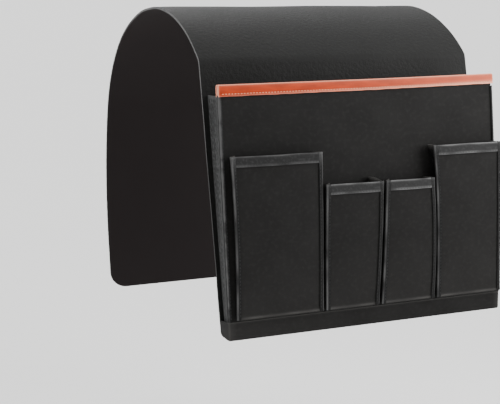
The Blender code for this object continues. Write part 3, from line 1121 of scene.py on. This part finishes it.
class Web:
    """A web of cloth that folds between two panels, as its solid gives it."""

    def __init__(self, node, side):
        """Its outer face lies on the left (0) or on the right (1) of the solid."""
        points = sorted(corners(node), key=lambda p: p.z)
        found = []
        for level in (points[:4], points[4:]):
            level.sort(key=lambda p: -p.y)
            found += [sorted(pair, key=lambda p: p.x) for pair in (level[:2], level[2:])]
        face = [pair[side] for pair in found]
        self.rear_low, self.front_low, self.rear_high, self.front_high = face
        self.thick = found[0][1].x - found[0][0].x
        self.low_width = (self.front_low - self.rear_low).length
        self.width = (self.front_high - self.rear_high).length
        self.height = (self.front_high - self.front_low).length

    def at(self, share, rise):
        """A point of its face, by its shares of the way to the front and to the mouth."""
        rear = self.rear_low.lerp(self.rear_high, rise)
        return rear.lerp(self.front_low.lerp(self.front_high, rise), share)

    def bend(self):
        """Between which two points it goes over from its rear body to its front one."""
        start = Vector((0, self.rear_high.y, self.rear_high.z))
        return start, Vector((0, self.front_high.y, self.front_high.z))


class ORGANIZER_OT_gussets(bpy.types.Operator):
    """Cuts the felt gussets, folded in slightly between the back panel and the front"""

    bl_idname = "organizer.gussets"
    bl_label = "Gussets"

    def execute(self, context):
        size = context.scene.organizer_pouch
        waver_pace, waver_height = GUSSET_WAVER
        notch_height, notch_width, notch_sharpness = GUSSET_NOTCH
        for side, word in SIDES:
            web = Web(f"{word}_gusset", side > 0)
            width, height = web.width, web.height

            def place(u, v):
                f, h = u / width, v / height
                middle = math.sin(math.pi * f)
                fold = middle * (GUSSET_LOW_FOLD + (1 - GUSSET_LOW_FOLD) * h)
                waver = abs(unevenness((side, f, v * waver_pace), 1, waver_height))
                dip = GUSSET_DIP * middle * h**10
                notch = notch_height * max(0.0, 1 - f / notch_width) * (1 - h) ** notch_sharpness
                shift = (size.gusset_fold + waver) * fold
                return web.at(f, h) + Vector((-side * shift, 0, notch - dip))

            def worn(u, v):
                return streak(height - v, GUSSET_LIP_WEAR)

            across, along = evenly(0, width, GUSSET_STEPS[0]), evenly(0, height, GUSSET_STEPS[1])
            name, faces = f"{word}_side_gusset", ("speckled_felt",)
            felt = cut_cloth(name, across, along, place, web.thick, faces, side > 0, worn)
            belongs(felt, ("pouch", "pouch_front"), "felt", (f"{word}_gusset",), web.bend())
            halfway_down = web.at(1, 0.5) - web.at(0, 0.5)
            area = (width + halfway_down.length) / 2 * height
            area = min(area, GUSSET_AREA_SHARE * width * height)
        return {"FINISHED"}


def boot_box(front, back):
    """A box between its front and its rear edges (lower, upper), without its top and its rear."""
    select_only()
    bpy.ops.mesh.primitive_cube_add(size=1)
    boot = bpy.context.object
    boot.name = boot.data.name = "boxed_bottom"
    for vertex in boot.data.vertices:
        end = (front if vertex.co.y < 0 else back)[vertex.co.z > 0]
        vertex.co = (end.x if vertex.co.x < 0 else -end.x, end.y, end.z)
    open_faces = [f.index for f in boot.data.polygons if f.normal.z > 0.9 or f.normal.y > 0.9]
    bpy.ops.object.mode_set(mode="EDIT")
    bpy.ops.mesh.select_all(action="DESELECT")
    bpy.ops.object.mode_set(mode="OBJECT")
    for index in open_faces:
        boot.data.polygons[index].select = True
    bpy.ops.object.mode_set(mode="EDIT")
    bpy.ops.mesh.delete(type="ONLY_FACE")
    bpy.ops.mesh.select_all(action="DESELECT")
    bpy.ops.object.mode_set(mode="OBJECT")
    return boot


def round_folds(boot, radius):
    """Rounds the edges where two of the boot's faces meet, and cuts its faces up."""
    uses = {}
    for face in boot.data.polygons:
        for key in face.edge_keys:
            uses[key] = uses.get(key, 0) + 1
    for edge in boot.data.edges:
        edge.select = uses.get(edge.key, 0) == 2
    bpy.ops.object.mode_set(mode="EDIT")
    bpy.ops.mesh.select_mode(type="EDGE")
    bpy.ops.mesh.bevel(offset=radius, segments=4, profile=0.5)
    bpy.ops.mesh.select_all(action="SELECT")
    bpy.ops.mesh.subdivide(number_cuts=BOOT_CUTS)
    bpy.ops.object.mode_set(mode="OBJECT")


class ORGANIZER_OT_boot(bpy.types.Operator):
    """Builds the boxed bottom from a box, opened above and behind"""

    bl_idname = "organizer.boot"
    bl_label = "Boot"

    def execute(self, context):
        size = context.scene.organizer_pouch
        low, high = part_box("bottom_boot")
        ends = [p for p in corners("bottom_boot") if abs(p.x - low.x) < 1e-5]
        ends.sort(key=lambda p: p.y)
        front, back = sorted(ends[:2], key=lambda p: p.z), sorted(ends[2:], key=lambda p: p.z)
        front[0].z -= size.boot_sag
        front[0].y += BOOT_BACK
        boot = boot_box(front, back)
        boot.data.materials.append(bpy.data.materials["panel_cloth_coated"])
        round_folds(boot, size.boot_edge)
        flat = high.x - size.boot_edge
        for vertex in boot.data.vertices:
            if abs(vertex.co.x) < flat:
                vertex.co.x = math.copysign(math.sqrt(abs(vertex.co.x) * flat), vertex.co.x)
        layer = boot.data.uv_layers.active
        layer.name = "cut"
        for loop in boot.data.loops:
            point = boot.data.vertices[loop.vertex_index].co
            layer.data[loop.index].uv = (point.x + point.y, point.z + point.y)
        lip, values = front[1].z, []
        half_round = BOOT_CORNER_SPREAD / 2
        for vertex in boot.data.vertices:
            x, y, z = vertex.co
            from_end = high.x - abs(x)
            down = limit((lip - z) / (lip - back[0].z))
            rear = limit((y - front[0].y) / (back[0].y - front[0].y))
            vertex.co.z += size.boot_lift * down * rear**2 * near(from_end, BOOT_LIFT_SPREAD)
            face = front[1].y + (front[0].y - front[1].y) * down
            corner = near(from_end - half_round, BOOT_CORNER_SPREAD)
            corner *= near(y - face - half_round, BOOT_CORNER_SPREAD)
            # Painted light: paler towards the left end, most halfway down. A painted highlight lies
            # on the lip, and the corners are worn.
            belt = BOOT_EDGE_LIGHT + (1 - BOOT_EDGE_LIGHT) * math.sin(math.pi * down)
            painted_light = size.boot_left_light * max(0.0, -x / high.x) * belt
            values.append(min(1.0, streak(lip - z, BOOT_LIP_HIGHLIGHT) + corner + painted_light))
        mark_wear_and_light(boot.data, values)
        wall = boot.modifiers.new("thickness", "SOLIDIFY")
        wall.thickness = size.boot_thick
        wall.offset = -1
        wall.use_even_offset = True
        apply_modifiers(boot)
        smooth(boot)
        belongs(boot, "pouch", "panel_cloth", ("bottom_boot",))
        return {"FINISHED"}


# The pockets

# How far each pocket's left and right edges are bowed halfway up, and flared at the mouth.
BOWS = {
    "left_large_pocket": ((0.0018, 0.0), (0.0003, 0.0)),
    "left_small_pocket": ((-0.0004, 0.0), (0.0008, 0.0)),
    "right_small_pocket": ((0.0008, 0.0), (0.0022, 0.0)),
    "right_large_pocket": ((0.0014, -0.0028), (0.0, 0.0)),
}
# How worn each pocket's hem is, and the upper ends of its side tapes.
WEAR_SHARES = {
    "left_large_pocket": (0.5, 0.55),
    "left_small_pocket": (1.05, 0.16),
    "right_small_pocket": (1.35, 0.14),
    "right_large_pocket": (1.2, 0.16),
}
# The pleats that don't lie folded in: one stands out as an ear, one stands up above its hem.
LOOSE_PLEAT = ("right_large_pocket", 0)
RAISED_PLEAT = ("left_small_pocket", 1)

# Play between a folded tape and what it folds round.
PLAY = 0.0003
# The belly: where its rise from the seam ends, its least share, the width of a pocket that has all
# of it, and how flat it is across. Then length and height of the cloth's ripples.
BELLY_START = 0.02
BELLY_LEAST = 0.35
BELLY_WIDTH = 0.095
BELLY_FLATNESS = 0.6
POCKET_RIPPLE = (0.03, 0.0005)

# The sheet: how much narrower its flange is at each side, how high its finely cut part reaches,
# and its largest faces there, above and across.
FLANGE_INSET = 0.005
SEAM_ZONE = 0.012
SHEET_STEPS = (0.0008, 0.004, 0.004)
# Strength and spread of the wear at its seam, the length of its patches, how far it lies above the
# flange, and the share of the height over which the painted light above it fades.
SEAM_WEAR = (0.50, 0.0014)
SEAM_PATCH = 0.02
SEAM_RISE = 0.0012
LOW_LIGHT_HEIGHT = 0.55

# The hem: its rounding, its largest faces, strength and spread of the wear on its fold and along
# its lip, where that lies, seeds of the patches of both, and the wear all over it.
HEM_BEND = 0.0016
HEM_STEPS = (0.0025, 0.0007)
HEM_FOLD_WEAR = (0.75, 0.0014)
HEM_LIP_WEAR = (0.55, 0.0012)
HEM_LIP = 0.0010
HEM_SEEDS = (40, 90)
HEM_ALL_WEAR = 0.08
# Distance of its stitches from its edge, and how much of its length they take.
HEM_SEAM = (0.0013, 0.98)

# The side tapes: their rounding, their lower end above the sheet's turn, length and height of the
# waves of their fold, and their largest faces.
TAPE_BEND = 0.0014
TAPE_START = 0.0004
TAPE_WAVE = (0.025, 0.0004)
TAPE_STEPS = (0.0006, 0.003)
# Where the worn ridge of the left and of the right one lies from the fold, its strength and
# spread, its strength and spread near the mouth, those of the mouth's edge, how far down the
# upper end is worn, and the seed of the patches.
TAPE_RIDGES = (-0.0006, 0.0004)
TAPE_WEAR = (0.8, 0.0010)
TAPE_HIGH_WEAR = (0.25, 0.03)
TAPE_MOUTH_WEAR = (0.3, 0.001)
TAPE_END = 0.011
TAPE_SEED = 50
# Distance of their stitches from their edge and from their lower and upper ends, and that of
# the seam across them from the mouth and from both of their edges.
TAPE_SEAM = (0.0011, 0.003, 0.001)
TAPE_CROSS_SEAM = (0.0100, 0.0012, 0.0010)

# The pleats: how much more cloth they have than their width, how round their fold is, how much
# they fold at the bottom, their lip's rise, their largest faces and their lip's wear.
PLEAT_SLACK = 1.25
PLEAT_ROUNDNESS = 1.6
PLEAT_LOW_FOLD = 0.1
PLEAT_LIP = 0.0008
PLEAT_STEPS = (0.0011, 0.005)
PLEAT_LIP_WEAR = (0.9, 0.0025)
# From which share of the height the loose pleat turns out, from which share of the width the
# raised one slopes down, and the least share of its flat rectangle that a pleat's area is.
LOOSE_FROM = 0.80
RAISED_TO = 0.6
PLEAT_LEAST_AREA = 0.31


class Pocket:
    """One pocket's frame and outline: Z runs up its outer face from the seam."""

    def __init__(self, name, size):
        self.name = name
        self.size = size
        self.matrix = hanging(f"{name}_fold", f"{name}_left_tape")
        inverse = self.matrix.inverted()
        face = [inverse @ p for p in corners(f"{name}_panel")]
        face = [p for p in face if abs(p.y) < 0.0002]
        self.height = max(p.z for p in face)
        self.inset = size.tape_thick + PLAY
        low = [p.x for p in face if p.z < self.height / 2]
        high = [p.x for p in face if p.z > self.height / 2]
        self.seam = (min(low) - self.inset, max(low) + self.inset)
        self.mouth = (min(high) - self.inset, max(high) + self.inset)
        self.half = (self.mouth[1] - self.mouth[0]) / 2
        self.top = self.height + PLAY + size.hem_thick

    def edge(self, side, z):
        """X of the left (0) or right (1) edge at a height."""
        straight = self.seam[side] + (self.mouth[side] - self.seam[side]) * z / self.height
        return straight + self.bow(side, z)

    def bow(self, side, z):
        """How far an edge leaves its straight line at a height."""
        bow, flare = BOWS[self.name][side]
        share = limit(z / self.height)
        return bow * math.sin(math.pi * share) + flare * share**5

    def across(self, u, z, inset):
        """X at a height, for a spot of the cut, between the edges less an inset."""
        left, right = self.edge(0, z) + inset, self.edge(1, z) - inset
        return left + (right - left) * (u / self.half + 1) / 2

    def belly(self, x, z):
        """How far the cloth stands out at a place of the pocket's face."""
        left, right = self.edge(0, z), self.edge(1, z)
        share = limit((x - left) / (right - left))
        swell = BELLY_LEAST + (1 - BELLY_LEAST) * math.sin(math.pi * limit(z / self.height))
        swell *= self.size.belly * (right - left) / BELLY_WIDTH
        ripple = unevenness((x, z, self.seam[0]), *POCKET_RIPPLE)
        flat = math.sin(math.pi * share) ** BELLY_FLATNESS
        return ease(z / BELLY_START) * flat * (swell + ripple)

    def point(self, x, level, z):
        """A point of the pocket: level is inwards from its outer face."""
        return self.matrix @ Vector((x, level - self.belly(x, z), z))


def pocket_sheet(pocket, size):
    """The pocket's own cloth, turned in at its bottom seam."""
    rise = pocket.height - size.tape_thick
    line = rounded([(size.flange, 0), (0, 0), (0, rise)], size.seam_radius)
    fold = size.flange + SEAM_RISE

    def place(u, v):
        level, z = line.at(v)
        turned_in = FLANGE_INSET if level > size.seam_radius / 2 else 0.0
        return pocket.point(pocket.across(u, z, pocket.inset + turned_in), level, z)

    def worn(u, v):
        # Worn at the seam, and painted light that pales the cloth towards the bottom.
        low = max(0.0, 1 - (v - fold) / (LOW_LIGHT_HEIGHT * pocket.height))
        return streak(v - fold, SEAM_WEAR) * patchy(u, 3, SEAM_PATCH) + size.low_light * low

    fine, coarse, wide = SHEET_STEPS
    along = evenly(0, SEAM_ZONE, fine) + evenly(SEAM_ZONE, line.length, coarse)[1:]
    across = evenly(-pocket.half, pocket.half, wide)
    name, faces = f"{pocket.name}_sheet", ("panel_cloth_coated",)
    cloth = cut_cloth(name, across, along, place, size.sheet_thick, faces, worn=worn)
    belongs(cloth, pocket.name, "panel_cloth", (f"{pocket.name}_panel",))
    2 * pocket.half


def pocket_hem(pocket, size):
    """The tape folded over the mouth. Returns the rows of its stitches."""
    line = folded_tape(size.solid_thick, size.hem_height, size.hem_thick, PLAY, HEM_BEND)
    half, legs = pocket.half, size.tape_width + PLAY
    wear, _ = WEAR_SHARES[pocket.name]
    fold_seed, lip_seed = (pocket.seam[0] * factor for factor in HEM_SEEDS)
    inset, length_share = HEM_SEAM

    def place(u, v):
        reach, level = line.at(v)
        z = pocket.top - reach
        x = pocket.across(u, z, legs)
        lift = unevenness((x, 3, 1), *POCKET_RIPPLE)
        inwards = size.solid_thick - level - pocket.belly(x, min(z, pocket.height))
        return pocket.matrix @ Vector((x, inwards, z + lift))

    def worn(u, v):
        fold = streak(v - size.hem_height - PLAY, HEM_FOLD_WEAR) * patchy(u, fold_seed)
        lip = streak(v - HEM_LIP, HEM_LIP_WEAR) * patchy(u, lip_seed)
        return wear * (fold + lip) + HEM_ALL_WEAR * (wear - 0.5)

    across, along = evenly(-half, half, HEM_STEPS[0]), evenly(0, line.length, HEM_STEPS[1])
    name, faces = f"{pocket.name}_mouth_hem", ("woven_tape_ribbed",)
    tape = cut_cloth(name, across, along, place, size.hem_thick, faces, worn=worn)
    belongs(tape, pocket.name, "woven_tape", (f"{pocket.name}_hem",))
    2 * half
    return [seam(place, (-half * length_share, inset), (half * length_share, inset))]


def pocket_tape(pocket, size, side, word):
    """The tape folded over one side edge. Returns the rows of its stitches."""
    line = folded_tape(size.solid_thick, size.tape_width, size.tape_thick, PLAY, TAPE_BEND)
    start = size.sheet_thick + TAPE_START
    tall = pocket.top - start
    inwards = 1 if side == 0 else -1
    ridge = size.tape_width + TAPE_RIDGES[side]
    end_wear = (WEAR_SHARES[pocket.name][1], TAPE_END)
    strength, spread = TAPE_WEAR
    seed = pocket.seam[side] * TAPE_SEED

    def place(u, v):
        reach, level = line.at(u)
        z = start + v
        shift = abs(unevenness((side, v, 7), *TAPE_WAVE))
        x = pocket.edge(side, z) + inwards * (reach + shift)
        return pocket.point(x, size.solid_thick - level, min(z, pocket.top))

    def worn(u, v):
        down = tall - v
        blotches = strength * patchy(v, seed) + streak(down, TAPE_HIGH_WEAR)
        top = streak(down, TAPE_MOUTH_WEAR) + streak(down, end_wear)
        return blotches * near(u - ridge, spread) + top

    across, along = evenly(0, line.length, TAPE_STEPS[0]), evenly(0, tall, TAPE_STEPS[1])
    name, faces = f"{pocket.name}_{word}_edge_tape", ("side_tape_ribbed",)
    turned = side == 0
    tape = cut_cloth(name, across, along, place, size.tape_thick, faces, turned, worn)
    belongs(tape, pocket.name, "woven_tape", (f"{pocket.name}_{word}_tape",))
    inset, low_end, high_end = TAPE_SEAM
    below, from_edge, from_fold = TAPE_CROSS_SEAM
    ends = (from_edge, tall - below), (size.tape_width - from_fold, tall - below)
    along_it = seam(place, (inset, low_end), (inset, tall - high_end), turned)
    return [along_it, seam(place, *ends, turned)]


def pocket_pleat(pocket, size, side, word):
    """The web between one side edge and the front panel, folded in."""
    web = Web(f"{pocket.name}_{word}_pleat", side)
    width, height = web.width * PLEAT_SLACK, web.height
    inwards = 1 if side == 0 else -1
    loose = (pocket.name, side) == LOOSE_PLEAT
    raised = (pocket.name, side) == RAISED_PLEAT

    def place(u, v):
        f, h = u / width, v / height
        point = web.at(f, h)
        bend = 1 - abs(2 * f - 1) ** PLEAT_ROUNDNESS
        shift = size.pleat_fold * bend * (PLEAT_LOW_FOLD + (1 - PLEAT_LOW_FOLD) * h)
        if raised:
            slope = max(0.0, (f - RAISED_TO) / (1 - RAISED_TO)) ** 2
            point.z += size.ear_rise * (1 - slope) * h**10
            shift += size.ear_fold * bend * h**4
        if loose:
            turn = 1 + size.pleat_ear / size.pleat_fold
            shift *= 1 - turn * ease((h - LOOSE_FROM) / (1 - LOOSE_FROM))
        shift = inwards * shift + f * pocket.bow(side, h * pocket.height)
        return point + Vector((shift, 0, PLEAT_LIP * bend * h**12))

    def worn(u, v):
        return streak(height - v, PLEAT_LIP_WEAR)

    across, along = evenly(0, width, PLEAT_STEPS[0]), evenly(0, height, PLEAT_STEPS[1])
    name, faces = f"{pocket.name}_{word}_side_pleat", ("pleat_cloth",)
    cloth = cut_cloth(name, across, along, place, web.thick, faces, side == 1, worn)
    bodies, node = ("pouch_front", pocket.name), f"{pocket.name}_{word}_pleat"
    belongs(cloth, bodies, "felt", (node,), web.bend())
    area = max(PLEAT_LEAST_AREA, (web.low_width / width + 1) / 2) * width * height


class ORGANIZER_OT_pockets(bpy.types.Operator):
    """Sews the four pockets: cloth, hem, side tapes, pleats and stitches"""

    bl_idname = "organizer.pockets"
    bl_label = "Pockets"

    def execute(self, context):
        size = context.scene.organizer_pockets
        for name in POCKETS:
            pocket = Pocket(name, size)
            pocket_sheet(pocket, size)
            rows = pocket_hem(pocket, size)
            for side, word in enumerate(("left", "right")):
                rows += pocket_tape(pocket, size, side, word)
                pocket_pleat(pocket, size, side, word)
            thread = stitches(f"{name}_stitching", rows, "thread_grey")
            belongs(thread, name, "woven_tape", ())
        return {"FINISHED"}


# The finishes and the stage


class ORGANIZER_OT_finishes(bpy.types.Operator):
    """Makes the finishes that the pieces wear"""

    bl_idname = "organizer.finishes"
    bl_label = "Finishes"

    def execute(self, context):
        look = context.scene.organizer_colours
        make_leatherette(look)
        make_lining(look)
        make_cloth("panel_cloth_coated", look.panel, specular=0.11, pale=5.0)
        # Painted shade: the pleats wear the panel cloth at half its colour, for the shade they lie
        # in.
        make_cloth("pleat_cloth", shade(look.panel, 0.5), specular=0.06, pale=12.0)
        make_felt(look)
        make_tape("woven_tape_ribbed", shade(look.tape, 0.82), pale=5.1)
        make_tape("side_tape_ribbed", shade(look.tape, 0.42), pale=8.6)
        make_cut_edge(look)
        make_trim(look)
        make_trim_edge(look)
        make_board(look)
        make_floor(look)
        make_thread("thread_grey", shade(look.thread, 0.17))
        make_thread("thread_dark", shade(look.thread, 0.15))
        make_thread("thread_terracotta", look.trim_thread)
        return {"FINISHED"}


def add_sun(name, strength, angle, towards):
    """A soft sun that shines along a direction."""
    light = bpy.data.lights.new(name, "SUN")
    light.energy = strength
    light.angle = math.radians(angle)
    sun = bpy.data.objects.new(name, light)
    bpy.context.collection.objects.link(sun)
    sun.rotation_euler = Vector(towards).to_track_quat("-Z", "Y").to_euler()


def add_panel(name, power, sides, place, aim):
    """A soft box of two sides, at a place and aimed at a point."""
    light = bpy.data.lights.new(name, "AREA")
    light.energy = power
    light.shape = "RECTANGLE"
    light.size, light.size_y = sides
    box = bpy.data.objects.new(name, light)
    bpy.context.collection.objects.link(box)
    box.location = place
    box.rotation_euler = (Vector(aim) - Vector(place)).to_track_quat("-Z", "Y").to_euler()
    box.visible_camera = False


class ORGANIZER_OT_stage(bpy.types.Operator):
    """Lays the pale floor and sets the soft lights and the camera"""

    bl_idname = "organizer.stage"
    bl_label = "Stage"

    def execute(self, context):
        stage = context.scene.organizer_stage
        select_only()
        below = (0, 0, -stage.floor_drop)
        bpy.ops.mesh.primitive_grid_add(
            x_subdivisions=8, y_subdivisions=8, size=stage.floor_size, location=below
        )
        floor = bpy.context.object
        floor.name = "stage_floor"
        floor.data.materials.append(bpy.data.materials["pale_floor"])
        world = bpy.data.worlds.new("studio")
        world.use_nodes = True
        sky = world.node_tree.nodes["Background"]
        sky.inputs["Color"].default_value = (1, 1, 1, 1)
        sky.inputs["Strength"].default_value = stage.sky
        context.scene.world = world
        add_sun("back_light", stage.back_light, angle=30, towards=(0.1, -1.5, -1.0))
        add_sun("top_light", stage.top_light, angle=60, towards=(0.0, 0.0, -1.0))
        place, aim = (0.44, -0.50, 0.10), (0.14, -0.25, -0.10)
        add_panel("side_light", stage.side_light, sides=(0.5, 0.6), place=place, aim=aim)
        lens = bpy.data.cameras.new("camera")
        lens.lens = stage.lens
        lens.sensor_width = 36
        lens.sensor_fit = "HORIZONTAL"
        lens.clip_end = 400
        camera = bpy.data.objects.new("camera", lens)
        context.collection.objects.link(camera)
        camera.location = stage.camera_place
        camera.rotation_euler = (math.pi / 2 - stage.pitch, 0, -stage.azimuth)
        context.scene.camera = camera
        return {"FINISHED"}


STEPS = (
    ORGANIZER_OT_finishes,
    ORGANIZER_OT_stage,
    ORGANIZER_OT_saddle,
    ORGANIZER_OT_front_panel,
    ORGANIZER_OT_trim,
    ORGANIZER_OT_bindings,
    ORGANIZER_OT_gussets,
    ORGANIZER_OT_boot,
    ORGANIZER_OT_pockets,
)


class ORGANIZER_PT_panel(bpy.types.Panel):
    """Lists the organizer's sizes and the steps that build it"""

    bl_idname = "ORGANIZER_PT_panel"
    bl_label = "Armrest organizer"
    bl_space_type = "VIEW_3D"
    bl_region_type = "UI"
    bl_category = "Organizer"

    def draw(self, context):
        for group in GROUPS:
            box = self.layout.box()
            settings = getattr(context.scene, group)
            for key in settings.bl_rna.properties.keys():
                if key not in ("rna_type", "name"):
                    box.prop(settings, key)
        for step in STEPS:
            self.layout.operator(step.bl_idname)


def register():
    for group in GROUPS.values():
        bpy.utils.register_class(group)
    for key, group in GROUPS.items():
        setattr(bpy.types.Scene, key, bpy.props.PointerProperty(type=group))
    for step in STEPS:
        bpy.utils.register_class(step)
    bpy.utils.register_class(ORGANIZER_PT_panel)


def unregister():
    bpy.utils.unregister_class(ORGANIZER_PT_panel)
    for step in reversed(STEPS):
        bpy.utils.unregister_class(step)
    for key, group in GROUPS.items():
        delattr(bpy.types.Scene, key)
        bpy.utils.unregister_class(group)


def main():
    register()
    bpy.ops.organizer.finishes()
    bpy.ops.organizer.stage()
    bpy.ops.organizer.saddle()
    bpy.ops.organizer.front_panel()
    bpy.ops.organizer.trim()
    bpy.ops.organizer.bindings()
    bpy.ops.organizer.gussets()
    bpy.ops.organizer.boot()
    bpy.ops.organizer.pockets()


if __name__ == "__main__":
    main()
